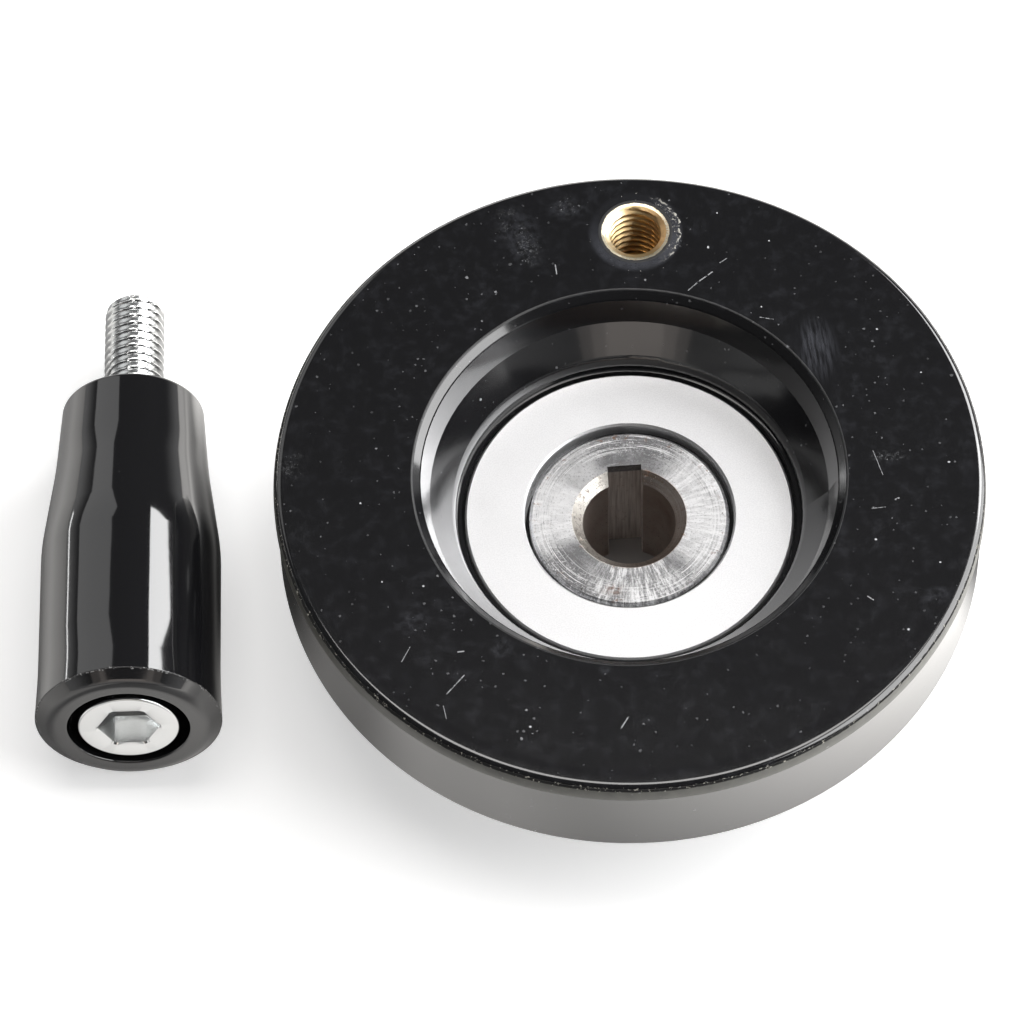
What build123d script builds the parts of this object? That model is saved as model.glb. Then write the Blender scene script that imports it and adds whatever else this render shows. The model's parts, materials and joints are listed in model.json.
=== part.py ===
"""Machine handwheel with its revolving handle unscrewed and laid beside it.

Millimetres. The origin is on the shaft bore's axis, at the hub's rear face, and +Z points to the
wheel's front. The handle lies along +Y on the same floor, on its shoulder and its small end.
"""

from build123d import *
import os
from math import asin, atan2, cos, degrees, hypot, pi, radians, sin, sqrt, tan

# Share of a side that roundings may take up
side_fill = 0.98

# Rim, seen from the front face; its width runs from the recess to the outside
rim_width = 18.35
rim_height = 15.2
rim_draft = 0.05
edge_band_height = 2.25
edge_band_width = 0.8
edge_round = 1.1
rim_back_round = 0.8

# Dished recess in the front face
recess_slope_width = 5.55
recess_mouth_chamfer = 0.95
recess_mouth_edge_round = 0.2
recess_ledge = 0.15
recess_band_depth = 4.4
recess_band_width = 1.1
recess_floor_depth = 10.4
recess_foot_height = 1.4
recess_foot_width = 0.15
recess_foot_round = 3.5

# Web and boss behind the recess
web_thickness = 4.7
boss_wall = 4.55
boss_draft = 1.0
boss_foot_round = 2.5
boss_end_round = 0.8
hub_rear_stand = 1.0

# Finger channel in the back of the rim, with a rippled outer wall
face_wall = 4.8
rim_wall = 4.9
recess_wall = 3.9
channel_inner_taper = 2.0
channel_foot_round = 1.3
foot_round_share = 0.4
ripple_count = 24
ripple_depth = 1.1
ripple_round = 9.0

# Steel hub
hub_projection = 15.0
hub_diameter = 25.7
hub_setback = 0.8
bore_diameter = 12.0
bore_chamfer = 1.35
hub_edge_chamfer = 0.4
keyway_width = 4.4
keyway_depth = 1.82
keyway_angle = 5.0
hub_groove_width = 2.0
hub_groove_depth = 0.9
hub_flute_count = 12
hub_flute_radius = 0.8

# Aluminium face ring
ring_width = 7.65
ring_gap = 0.6
ring_thickness = 2.0
ring_edge_chamfer = 0.25
ring_pocket_clearance = 0.4
ring_pocket_lip = 0.5
ring_below_floor = 0.1

# Threaded brass insert for the handle
thread_diameter = 8.0
thread_pitch = 1.25
thread_depth_per_pitch = 0.54
insert_diameter = 11.0
insert_collar_diameter = 9.7
insert_collar_height = 1.6
insert_rear_stand = 0.4
insert_groove_width = 1.6
insert_groove_depth = 0.7
insert_mouth_chamfer = 0.95
insert_boss_wall = 2.2
insert_angle = -1.2
insert_offset = 1.1

# Revolving grip, measured along its axis from the parting edge at its big end
grip_length = 48.6
grip_end_diameter = 23.8
grip_body_diameter = 23.3
grip_flare_length = 6.0
grip_flare_round = 20.0
grip_shoulder_at = 26.0
grip_shoulder_round = 12.0
grip_neck_diameter = 20.05
grip_neck_at = 38.4
grip_neck_round = 25.0
grip_tip_diameter = 18.6
grip_tip_round = 0.7
grip_crown = 1.4
grip_end_land = 2.15
grip_crown_round = 2.5
grip_parting_step = 0.12
counterbore_diameter = 15.5
counterbore_depth = 6.7
counterbore_edge_round = 0.3

# Spindle through the grip
spindle_diameter = 10.0
spindle_running_gap = 0.06
spindle_axial_play = 0.3
head_diameter = 12.95
head_recess = 0.15
head_edge_round = 0.9
socket_across_flats = 6.95
socket_depth = 4.2
socket_drill_cone = 1.0
stud_diameter = 7.9
stud_length = 17.4
stud_tip_chamfer = 1.0
stud_relief_length = 1.3
stud_relief_depth = 0.75

# Where the handle lies beside the wheel
handle_to_wheel = 6.65
handle_y = -26.98
handle_turn = 2.3

# Heights and radii worked out from the sizes above
bore_radius = bore_diameter / 2
hub_radius = hub_diameter / 2
boss_radius = hub_radius + boss_wall
ring_inner_radius = hub_radius + ring_gap
ring_radius = ring_inner_radius + ring_width
pocket_radius = ring_radius + ring_pocket_clearance
recess_radius = ring_radius + recess_slope_width
wheel_radius = recess_radius + rim_width
face_outer_radius = wheel_radius - edge_band_width
face_flat_inner = recess_radius + recess_mouth_chamfer
face_flat_outer = face_outer_radius - edge_round
face_z = hub_projection + rim_height
recess_floor_z = face_z - recess_floor_depth
ring_face_z = recess_floor_z - ring_below_floor
ring_seat_z = ring_face_z - ring_thickness
hub_face_z = ring_face_z - hub_setback
web_back_z = ring_seat_z - web_thickness
insert_circle_radius = (face_flat_inner + face_flat_outer) / 2 + insert_offset
insert_rear_z = hub_projection + insert_rear_stand
handle_x = -(wheel_radius + handle_to_wheel + grip_end_diameter / 2)


def corner_reaches(points, roundings):
    """How far each corner's rounding runs along its two sides."""
    reaches = []
    for index, corner in enumerate(points):
        before = points[index - 1]
        after = points[(index + 1) % len(points)]
        heading_in = atan2(corner[1] - before[1], corner[0] - before[0])
        heading_out = atan2(after[1] - corner[1], after[0] - corner[0])
        turn = abs((heading_out - heading_in + pi) % (2 * pi) - pi)
        reaches.append(roundings[index] * tan(turn / 2))
    return reaches


def roundings_that_fit(points, roundings):
    """Limit each rounding to the sides it lies on, where a changed size leaves a side too short."""
    reaches = corner_reaches(points, roundings)
    limited = []
    for index, corner in enumerate(points):
        before = points[index - 1]
        after = points[(index + 1) % len(points)]
        side_in = hypot(corner[0] - before[0], corner[1] - before[1])
        side_out = hypot(after[0] - corner[0], after[1] - corner[1])
        load_in = (reaches[index] + reaches[index - 1]) / side_in
        load_out = (reaches[index] + reaches[(index + 1) % len(points)]) / side_out
        load = max(load_in, load_out, side_fill)
        limited.append(roundings[index] * side_fill / load)
    return limited


def turned(corners):
    """Revolve a closed outline of (radius, height, rounding) corners about the Z axis."""
    points = [(radius, height) for radius, height, _ in corners]
    roundings = roundings_that_fit(points, [rounding for _, _, rounding in corners])
    outline = FilletPolyline(*points, radius=roundings, close=True)
    return revolve(make_face(Plane.XZ * outline), Axis.Z)


def disc(radius, low, high):
    """A plain cylinder on the Z axis between two heights."""
    return Pos(0, 0, low) * Cylinder(radius, high - low, align=(Align.CENTER, Align.CENTER, Align.MIN))


def at_insert(shape):
    """Move a shape from the Z axis to the insert's place on the rim."""
    angle = radians(90 + insert_angle)
    return Pos(insert_circle_radius * cos(angle), insert_circle_radius * sin(angle), 0) * shape


def hub_blank():
    """The hub's outside as one solid, with the grooves and flutes that lock it in the moulding."""
    groove_floor = hub_radius - hub_groove_depth
    upper_groove = ring_seat_z - 2 * hub_groove_width
    lower_groove = hub_rear_stand + 2 * hub_groove_width
    blank = turned([
        (0, 0, 0),
        (hub_radius - hub_edge_chamfer, 0, 0),
        (hub_radius, hub_edge_chamfer, 0),
        (hub_radius, lower_groove - hub_groove_width / 2, 0),
        (groove_floor, lower_groove - hub_groove_width / 2, 0),
        (groove_floor, lower_groove + hub_groove_width / 2, 0),
        (hub_radius, lower_groove + hub_groove_width / 2, 0),
        (hub_radius, upper_groove - hub_groove_width / 2, 0),
        (groove_floor, upper_groove - hub_groove_width / 2, 0),
        (groove_floor, upper_groove + hub_groove_width / 2, 0),
        (hub_radius, upper_groove + hub_groove_width / 2, 0),
        (hub_radius, hub_face_z - hub_edge_chamfer, 0),
        (hub_radius - hub_edge_chamfer, hub_face_z, 0),
        (0, hub_face_z, 0),
    ])
    flute = disc(hub_flute_radius, lower_groove, upper_groove)
    return blank - PolarLocations(hub_radius, hub_flute_count) * flute


def make_hub():
    """Steel hub: keyed bore right through, with a turned chamfer at the front."""
    bore = turned([
        (0, 0, 0),
        (bore_radius, 0, 0),
        (bore_radius, hub_face_z - bore_chamfer, 0),
        (bore_radius + bore_chamfer, hub_face_z, 0),
        (0, hub_face_z, 0),
    ])
    keyway_top = bore_radius + keyway_depth
    keyway = Box(keyway_width, keyway_top, hub_face_z, align=(Align.CENTER, Align.MIN, Align.MIN))
    return hub_blank() - bore - Rot(0, 0, keyway_angle) * keyway


def make_face_ring():
    """Aluminium ring that covers the moulding round the hub."""
    return turned([
        (ring_inner_radius, ring_seat_z, 0),
        (ring_radius, ring_seat_z, 0),
        (ring_radius, ring_face_z - ring_edge_chamfer, 0),
        (ring_radius - ring_edge_chamfer, ring_face_z, 0),
        (ring_inner_radius + ring_edge_chamfer, ring_face_z, 0),
        (ring_inner_radius, ring_face_z - ring_edge_chamfer, 0),
    ])


def insert_blank():
    """The brass insert's outside as one solid on the Z axis: a collar, a body and its groove."""
    collar = insert_collar_diameter / 2
    body = insert_diameter / 2
    groove_middle = (insert_rear_z + face_z - insert_collar_height) / 2
    return turned([
        (0, insert_rear_z, 0),
        (body, insert_rear_z, 0),
        (body, groove_middle - insert_groove_width / 2, 0),
        (body - insert_groove_depth, groove_middle - insert_groove_width / 2, 0),
        (body - insert_groove_depth, groove_middle + insert_groove_width / 2, 0),
        (body, groove_middle + insert_groove_width / 2, 0),
        (body, face_z - insert_collar_height, 0),
        (collar, face_z - insert_collar_height, 0),
        (collar, face_z, 0),
        (0, face_z, 0),
    ])


def make_insert():
    """Brass insert with a hole at the thread's crests and a countersunk mouth."""
    crest_radius = thread_diameter / 2 - thread_depth_per_pitch * thread_pitch
    mouth = turned([
        (0, insert_rear_z, 0),
        (crest_radius, insert_rear_z, 0),
        (crest_radius, face_z - insert_mouth_chamfer, 0),
        (crest_radius + insert_mouth_chamfer, face_z, 0),
        (0, face_z, 0),
    ])
    return at_insert(insert_blank() - mouth)


def finger_channel():
    """The space inside the rim's back: a rippled outer wall, a coned inner wall and the insert's boss."""
    ceiling = face_z - face_wall
    outer = wheel_radius - rim_wall
    inner = recess_radius + recess_wall
    step = pi / ripple_count
    crests = []
    for index in range(2 * ripple_count):
        radius = outer - ripple_depth * (1 - index % 2)
        crests.append((radius * cos(index * step), radius * sin(index * step)))
    roundings = roundings_that_fit(crests, [ripple_round] * len(crests))
    rippled = make_face(FilletPolyline(*crests, radius=roundings, close=True))
    below = ceiling - hub_projection + rim_back_round
    space = extrude(Pos(0, 0, ceiling - below) * rippled, below)
    core = turned([
        (0, ceiling - below, 0),
        (inner - channel_inner_taper, ceiling - below, 0),
        (inner, ceiling, 0),
        (0, ceiling, 0),
    ])
    space -= core
    width = outer - ripple_depth - inner
    space = fillet(space.edges().group_by(Axis.Z)[-1], min(channel_foot_round, width * foot_round_share))
    boss = disc(insert_diameter / 2 + insert_boss_wall, ceiling - below, ceiling)
    return space - at_insert(boss)


def make_wheel_body():
    """One black moulding: rim, dished recess, web and rear boss, moulded round the hub and insert."""
    lip_radius = pocket_radius + ring_pocket_lip
    band_foot = recess_radius - recess_ledge - recess_band_width
    mouth_foot_z = face_z - recess_mouth_chamfer
    back_of_wall = recess_radius + recess_wall - channel_inner_taper
    blank = turned([
        (0, ring_seat_z, 0),
        (pocket_radius, ring_seat_z, 0),
        (pocket_radius, recess_floor_z, 0),
        (lip_radius, recess_floor_z, 0),
        (lip_radius + recess_foot_width, recess_floor_z + recess_foot_height, recess_foot_round),
        (band_foot, face_z - recess_band_depth, 0),
        (recess_radius - recess_ledge, mouth_foot_z - recess_ledge, 0),
        (recess_radius, mouth_foot_z - recess_ledge, 0),
        (recess_radius, mouth_foot_z, 0),
        (face_flat_inner, face_z, recess_mouth_edge_round),
        (face_outer_radius, face_z, edge_round),
        (wheel_radius, face_z - edge_band_height, 0),
        (wheel_radius + rim_draft, hub_projection, rim_back_round),
        (back_of_wall, hub_projection, 0),
        (boss_radius + boss_draft, web_back_z, boss_foot_round),
        (boss_radius, hub_rear_stand, boss_end_round),
        (0, hub_rear_stand, 0),
    ])
    body = blank - finger_channel()
    return body - hub_blank() - at_insert(insert_blank())


def corner_arc_centre(before, corner, after, rounding):
    """Centre of the arc that rounds an outline's corner, as (along the axis, radius)."""
    back = (before[0] - corner[0], before[1] - corner[1])
    ahead = (after[0] - corner[0], after[1] - corner[1])
    back_length = hypot(*back)
    ahead_length = hypot(*ahead)
    middle = [back[i] / back_length + ahead[i] / ahead_length for i in range(2)]
    middle_length = hypot(*middle)
    half_angle_cos = middle_length / 2
    reach = rounding / sqrt(1 - half_angle_cos ** 2)
    return [corner[i] + middle[i] / middle_length * reach for i in range(2)]


def lie_of_grip():
    """Pitch of the grip's axis and height of its big end, resting on the shoulder and the small end."""
    body = grip_body_diameter / 2
    tip = grip_tip_diameter / 2
    neck = (grip_neck_at, grip_neck_diameter / 2)
    flare = (grip_flare_length, body)
    shoulder = corner_arc_centre(flare, (grip_shoulder_at, body), neck, grip_shoulder_round)
    end = corner_arc_centre(neck, (grip_length, tip), (grip_length, 0), grip_tip_round)
    along = end[0] - shoulder[0]
    drop = shoulder[1] - end[1]
    pitch = asin((grip_shoulder_round - grip_tip_round) / hypot(along, drop)) + atan2(drop, along)
    height = shoulder[0] * sin(pitch) + shoulder[1] * cos(pitch) + grip_shoulder_round
    return pitch, height


def handle_plane():
    """Frame of the handle: origin in the big end's parting edge, Z along the axis to the stud."""
    pitch, height = lie_of_grip()
    turn = radians(handle_turn)
    axis = (-sin(turn) * cos(pitch), cos(turn) * cos(pitch), -sin(pitch))
    side = (cos(turn), sin(turn), 0)
    return Plane(origin=(handle_x, handle_y, height), x_dir=side, z_dir=axis)


def make_grip():
    """Black grip: crowned big end, straight body, tapered neck, counterbored and bored through."""
    bore = spindle_diameter / 2 + spindle_running_gap
    counterbore = counterbore_diameter / 2
    end = grip_end_diameter / 2
    shape = turned([
        (counterbore, -grip_crown, counterbore_edge_round),
        (counterbore + grip_end_land, -grip_crown, grip_crown_round),
        (end - grip_parting_step, 0, 0),
        (end, 0, 0),
        (grip_body_diameter / 2, grip_flare_length, grip_flare_round),
        (grip_body_diameter / 2, grip_shoulder_at, grip_shoulder_round),
        (grip_neck_diameter / 2, grip_neck_at, grip_neck_round),
        (grip_tip_diameter / 2, grip_length, grip_tip_round),
        (bore, grip_length, 0),
        (bore, counterbore_depth - grip_crown, 0),
        (counterbore, counterbore_depth - grip_crown, 0),
    ])
    return handle_plane().location * shape


def make_spindle():
    """Zinc-plated spindle in one piece: socket head, plain journal, relief and threaded stud."""
    head_face = head_recess - grip_crown
    head_back = counterbore_depth - grip_crown - spindle_axial_play
    journal_end = grip_length + spindle_axial_play
    stud_end = journal_end + stud_length
    journal = spindle_diameter / 2
    stud = stud_diameter / 2
    shape = turned([
        (0, head_face, 0),
        (head_diameter / 2, head_face, head_edge_round),
        (head_diameter / 2, head_back, 0),
        (journal, head_back, 0),
        (journal, journal_end, 0),
        (stud - stud_relief_depth, journal_end, 0),
        (stud - stud_relief_depth, journal_end + stud_relief_length, 0),
        (stud, journal_end + stud_relief_length + stud_relief_depth, 0),
        (stud, stud_end - stud_tip_chamfer, 0),
        (stud - stud_tip_chamfer, stud_end, 0),
        (0, stud_end, 0),
    ])
    hexagon = RegularPolygon(socket_across_flats / 2, 6, major_radius=False)
    socket = extrude(Pos(0, 0, head_face) * hexagon, socket_depth)
    drill_tip = turned([
        (0, head_face + socket_depth, 0),
        (socket_across_flats / 2, head_face + socket_depth, 0),
        (0, head_face + socket_depth + socket_drill_cone, 0),
    ])
    return handle_plane().location * (shape - socket - drill_tip)


parts = {
    "wheel_body": make_wheel_body(),
    "hub": make_hub(),
    "face_ring": make_face_ring(),
    "handle_insert": make_insert(),
    "handle_grip": make_grip(),
    "handle_spindle": make_spindle(),
}

os.makedirs("parts", exist_ok=True)
for name, shape in parts.items():
    export_step(shape, f"parts/{name}.step")
pitch, height = lie_of_grip()
print(f"handle pitch {degrees(pitch):.3f} degrees, big end {height:.3f} mm above the floor")
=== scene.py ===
"""Looks of the machine handwheel: a dished black wheel, with its revolving handle laid beside it.

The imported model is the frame: the wheel's moulding, hub and face ring are its own solids, dressed here, and
the grip, the spindle and the brass insert are built finer over theirs. Sizes are in millimetres, in the
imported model's axes, unless a name says otherwise.
"""

import functools
import json
import logging
import math
import operator
from dataclasses import dataclass
from enum import Enum
from typing import Callable, Mapping, Optional, Sequence, Union

import bmesh
import bpy
from mathutils import Matrix, Vector


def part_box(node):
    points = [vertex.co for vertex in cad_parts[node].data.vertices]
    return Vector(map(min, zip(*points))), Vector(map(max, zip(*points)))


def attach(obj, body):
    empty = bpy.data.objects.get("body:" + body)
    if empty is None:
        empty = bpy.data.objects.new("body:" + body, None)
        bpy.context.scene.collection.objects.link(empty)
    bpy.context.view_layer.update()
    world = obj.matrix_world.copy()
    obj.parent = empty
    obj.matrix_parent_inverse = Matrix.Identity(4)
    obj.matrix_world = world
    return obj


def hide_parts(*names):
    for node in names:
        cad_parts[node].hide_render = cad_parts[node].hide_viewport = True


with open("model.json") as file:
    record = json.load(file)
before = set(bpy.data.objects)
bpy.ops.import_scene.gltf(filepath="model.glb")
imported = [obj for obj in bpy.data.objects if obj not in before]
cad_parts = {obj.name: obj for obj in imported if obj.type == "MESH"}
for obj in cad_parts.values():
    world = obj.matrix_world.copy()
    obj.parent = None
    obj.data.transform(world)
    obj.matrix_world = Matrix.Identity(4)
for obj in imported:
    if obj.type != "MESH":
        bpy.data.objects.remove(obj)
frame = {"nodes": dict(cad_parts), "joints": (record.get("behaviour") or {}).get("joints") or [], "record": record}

LOG = logging.getLogger("handwheel")
MM = 0.001
GRIP_JOINT_AT = 24.0
STUD_THREAD_DEPTH = 0.613
INSERT_THREAD_DEPTH = 0.541
BLACK = (0.0, 0.0, 0.0)
WHITE = (1.0, 1.0, 1.0)

Colour = tuple[float, float, float]
Row = Callable[[float], tuple[float, float]]
Socket = bpy.types.NodeSocket
Paint = Union[Colour, Socket]


class Body(Enum):
    """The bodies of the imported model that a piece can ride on."""

    WHEEL = "wheel"
    GRIP = "grip"


class Slot(Enum):
    """The record's material slots."""

    PHENOLIC = "phenolic_black"
    GRIP = "grip_black"
    STEEL = "turned_steel"
    ALUMINIUM = "satin_aluminium"
    BRASS = "brass"
    ZINC = "zinc_plated_steel"


# Shader values


class Amount:
    """A number that varies over a surface, held by a node's output socket."""

    def __init__(self, recipe: "Recipe", socket: Socket) -> None:
        """Wrap a socket.

        Args:
            recipe: the material that the socket is in.
            socket: an output socket that gives a number.
        """
        self.recipe = recipe
        self.socket = socket

    def math(self, operation: str, *others: "Number", clamp: bool = False, first: bool = True) -> "Amount":
        """Add a Math node.

        Args:
            operation: the node's operation.
            others: its other values.
            clamp: whether the result is kept between 0 and 1.
            first: whether this value is the first of the node's values, or the second.

        Returns:
            The node's result.
        """
        values = [self, *others] if first else [*others, self]
        settings = {"operation": operation, "use_clamp": clamp}
        node = self.recipe.add("ShaderNodeMath", settings, dict(enumerate(values)))
        return Amount(self.recipe, node.outputs[0])

    def __add__(self, other: "Number") -> "Amount":
        """Add."""
        return self.math("ADD", other)

    def __radd__(self, other: "Number") -> "Amount":
        """Add, the other way round."""
        return self.math("ADD", other)

    def __sub__(self, other: "Number") -> "Amount":
        """Subtract."""
        return self.math("SUBTRACT", other)

    def __rsub__(self, other: "Number") -> "Amount":
        """Subtract from a number."""
        return self.math("SUBTRACT", other, first=False)

    def __mul__(self, other: "Number") -> "Amount":
        """Multiply."""
        return self.math("MULTIPLY", other)

    def __rmul__(self, other: "Number") -> "Amount":
        """Multiply, the other way round."""
        return self.math("MULTIPLY", other)

    def __truediv__(self, other: "Number") -> "Amount":
        """Divide."""
        return self.math("DIVIDE", other)

    def __abs__(self) -> "Amount":
        """Leave out the sign."""
        return self.math("ABSOLUTE")

    def __pow__(self, power: float) -> "Amount":
        """Raise to a power."""
        return self.math("POWER", power)

    def __or__(self, other: "Number") -> "Amount":
        """The larger of two values: either mask."""
        return self.math("MAXIMUM", other)

    def __and__(self, other: "Number") -> "Amount":
        """The smaller of two values: both masks."""
        return self.math("MINIMUM", other)

    def rise(self, low: float, high: float) -> "Amount":
        """A smooth step.

        Args:
            low: where the step leaves 0.
            high: where it reaches 1; below low, the step falls instead.

        Returns:
            The step, from 0 to 1.
        """
        if low > high:
            return 1 - self.rise(high, low)
        settings = {"interpolation_type": "SMOOTHSTEP"}
        inputs = {"Value": self, "From Min": low, "From Max": high, "To Min": 0.0, "To Max": 1.0}
        node = self.recipe.add("ShaderNodeMapRange", settings, inputs)
        return Amount(self.recipe, node.outputs["Result"])

    def near(self, value: float, reach: float, soft: float) -> "Amount":
        """A band round one value.

        Args:
            value: the middle of the band.
            reach: half of its width.
            soft: how far its edges fade.

        Returns:
            1 in the band and 0 outside it.
        """
        return abs(self - value).rise(reach + soft, reach - soft)


Number = Union[Amount, float]


class Recipe:
    """A node tree, as one finish or the room fills it in."""

    def __init__(self, name: str, library: Optional[bpy.types.bpy_prop_collection] = None) -> None:
        """Start an empty node tree.

        Args:
            name: the name of what it belongs to.
            library: the part of bpy.data that this goes into, when it isn't a material.
        """
        self.owner = (bpy.data.materials if library is None else library).new(name)
        self.owner.use_nodes = True
        self.tree = self.owner.node_tree
        self.tree.nodes.clear()

    def add(self, kind: str, settings: Optional[Mapping] = None,
            inputs: Optional[Mapping] = None) -> bpy.types.Node:
        """Add one node.

        Args:
            kind: the node's type.
            settings: its properties, which are set first.
            inputs: values, amounts or sockets for its input sockets, by name or number.

        Returns:
            The node.
        """
        node = self.tree.nodes.new(kind)
        for name, value in (settings or {}).items():
            setattr(node, name, value)
        for name, value in (inputs or {}).items():
            if isinstance(value, Amount):
                value = value.socket
            if isinstance(value, Socket):
                self.tree.links.new(value, node.inputs[name])
            else:
                node.inputs[name].default_value = value
        return node

    def place(self) -> Socket:
        """The point on the surface in millimetres, in the piece's own axes."""
        point = self.add("ShaderNodeTexCoord").outputs["Object"]
        scale = self.add("ShaderNodeVectorMath", {"operation": "SCALE"}, {0: point, "Scale": 1 / MM})
        return scale.outputs[0]

    def axes(self, point: Socket) -> tuple[Amount, Amount, Amount]:
        """The three coordinates of a point.

        Args:
            point: a vector socket.

        Returns:
            Its x, y and z.
        """
        split = self.add("ShaderNodeSeparateXYZ", inputs={0: point})
        return tuple(Amount(self, split.outputs[index]) for index in range(3))

    def vector(self, x: Number, y: Number, z: Number = 0.0) -> Socket:
        """A vector from its three coordinates.

        Args:
            x: its x.
            y: its y.
            z: its z.

        Returns:
            The vector's socket.
        """
        return self.add("ShaderNodeCombineXYZ", inputs={0: x, 1: y, 2: z}).outputs[0]

    def noise(self, point: Socket, size: float, detail: float = 2.0, rough: float = 0.5) -> Amount:
        """Smooth noise.

        Args:
            point: where it is read, in millimetres.
            size: the size of its largest features, in millimetres.
            detail: how many finer layers it has.
            rough: how strong those are.

        Returns:
            The noise, from 0 to 1 about one half.
        """
        inputs = {"Vector": point, "Scale": 1 / size, "Detail": detail, "Roughness": rough}
        node = self.add("ShaderNodeTexNoise", {"normalize": True}, inputs)
        return Amount(self, node.outputs["Fac"])

    def specks(self, point: Socket, spacing: float, size: float, share: float) -> Amount:
        """Scattered round specks.

        Args:
            point: where they are read, in millimetres.
            spacing: the mean distance between the places where a speck may be.
            size: the largest speck's radius, in millimetres.
            share: the share of the places that hold one.

        Returns:
            1 in a speck and 0 outside.
        """
        inputs = {"Vector": point, "Scale": 1 / spacing, "Randomness": 1.0}
        cells = self.add("ShaderNodeTexVoronoi", {"feature": "F1"}, inputs)
        chance, scatter, _ = self.axes(cells.outputs["Color"])
        reach = scatter * scatter * (size / spacing) + 0.15 * size / spacing
        inside = (reach - Amount(self, cells.outputs["Distance"])).rise(0.0, 0.3 * size / spacing)
        return inside * chance.rise(1 - share, 1 - share + 0.01)

    def scratches(self, point: Socket, spacing: float, length: float, width: float, share: float,
                  seed: float) -> Amount:
        """Scattered straight scratches on a face that looks along Z, each at its own angle.

        Args:
            point: where they are read, in millimetres.
            spacing: the size of the patches that hold one scratch each.
            length: the longest scratch.
            width: a scratch's width.
            share: the share of the patches that hold one.
            seed: a number that shifts the pattern.

        Returns:
            1 in a scratch and 0 outside.
        """
        shifted = self.add("ShaderNodeVectorMath", {"operation": "ADD"}, {0: point, 1: (seed, 1.7 * seed, 0)})
        inputs = {"Vector": shifted.outputs[0], "Scale": 1 / spacing, "Randomness": 1.0}
        settings = {"feature": "F1", "voronoi_dimensions": "2D"}
        cells = self.add("ShaderNodeTexVoronoi", settings, inputs)
        centre = self.add("ShaderNodeVectorMath", {"operation": "SCALE"},
                          {0: cells.outputs["Position"], "Scale": spacing})
        centre_x, centre_y, _ = self.axes(centre.outputs[0])
        x, y, _ = self.axes(shifted.outputs[0])
        chance, turn, reach = self.axes(cells.outputs["Color"])
        angle = turn * (2 * math.pi)
        cos, sin = angle.math("COSINE"), angle.math("SINE")
        across_x, across_y = x - centre_x, y - centre_y
        along = across_x * cos + across_y * sin
        off = across_y * cos - across_x * sin + along * along * (0.06 / length)
        fade = (reach * length * 0.5 - abs(along)).rise(0.0, 0.2 * length)
        line = abs(off).rise(width * 0.5, width * 0.15)
        return line * fade * chance.rise(1 - share, 1 - share + 0.01)

    def lobe(self, x: Amount, y: Amount, turn: float, half: float) -> Amount:
        """A soft sector about the Z axis.

        Args:
            x: the point's x, as a share of its distance from the axis.
            y: its y, likewise.
            turn: the direction of the sector's middle, in degrees from the X axis.
            half: half of its width, in degrees.

        Returns:
            1 in the sector's middle and 0 outside it.
        """
        middle = math.radians(turn)
        along = x * math.cos(middle) + y * math.sin(middle)
        return along.rise(math.cos(math.radians(1.5 * half)), math.cos(math.radians(0.5 * half)))

    def blend(self, factor: Number, plain: Paint, marked: Paint) -> Socket:
        """Mix two colours.

        Args:
            factor: how much of the second colour shows.
            plain: the first colour.
            marked: the second colour.

        Returns:
            The mixed colour's socket.
        """
        def full(colour: Paint) -> Union[tuple, Socket]:
            """Add the alpha that a colour socket takes."""
            return (*colour, 1.0) if isinstance(colour, tuple) else colour

        node = self.add("ShaderNodeMix", {"data_type": "RGBA"}, {0: factor, 6: full(plain), 7: full(marked)})
        return node.outputs[2]

    def bump(self, height: Amount, depth: float, onto: Optional[Socket] = None) -> Socket:
        """Raise the surface.

        Args:
            height: the height, from 0 to 1.
            depth: what a height of 1 stands for, in millimetres.
            onto: the normal that it is added to.

        Returns:
            The new normal.
        """
        inputs = {"Height": height, "Distance": depth * MM, "Strength": 1.0}
        if onto is not None:
            inputs["Normal"] = onto
        return self.add("ShaderNodeBump", inputs=inputs).outputs["Normal"]

    def finish(self, inputs: Mapping) -> bpy.types.Material:
        """Close the recipe with one Principled shader.

        Args:
            inputs: its values and links.

        Returns:
            The material.
        """
        shader = self.add("ShaderNodeBsdfPrincipled", inputs=inputs)
        self.add("ShaderNodeOutputMaterial", inputs={"Surface": shader.outputs[0]})
        return self.owner


# Finishes


@dataclass(frozen=True)
class Scratch:
    """A scratch on the wheel's face, between two points in millimetres."""

    start: tuple[float, float]
    end: tuple[float, float]
    width: float = 0.14

    def mask(self, x: Amount, y: Amount) -> Amount:
        """1 in the scratch and 0 outside, from a point's coordinates."""
        run_x, run_y = self.end[0] - self.start[0], self.end[1] - self.start[1]
        length = math.hypot(run_x, run_y)
        from_x, from_y = x - self.start[0], y - self.start[1]
        along = (from_x * (run_x / length ** 2) + from_y * (run_y / length ** 2)).math("ADD", 0.0, clamp=True)
        off = ((from_x - along * run_x) ** 2.0 + (from_y - along * run_y) ** 2.0) ** 0.5
        return off.rise(self.width * 0.6, self.width * 0.2)


@dataclass(frozen=True)
class Patch:
    """An oval patch on the wheel's face, in millimetres and degrees."""

    x: float
    y: float
    half_width: float
    half_height: float
    turn: float = 0.0

    def mask(self, x: Amount, y: Amount) -> Amount:
        """1 in the patch's middle, fading to 0 at its edge."""
        cos, sin = math.cos(math.radians(self.turn)), math.sin(math.radians(self.turn))
        from_x, from_y = x - self.x, y - self.y
        wide = (from_x * cos + from_y * sin) * (1 / self.half_width)
        high = (from_y * cos - from_x * sin) * (1 / self.half_height)
        return ((wide * wide + high * high) ** 0.5).rise(1.0, 0.25)


def together(masks: Sequence[Amount]) -> Amount:
    """The largest of several masks."""
    return functools.reduce(operator.or_, masks)


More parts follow.
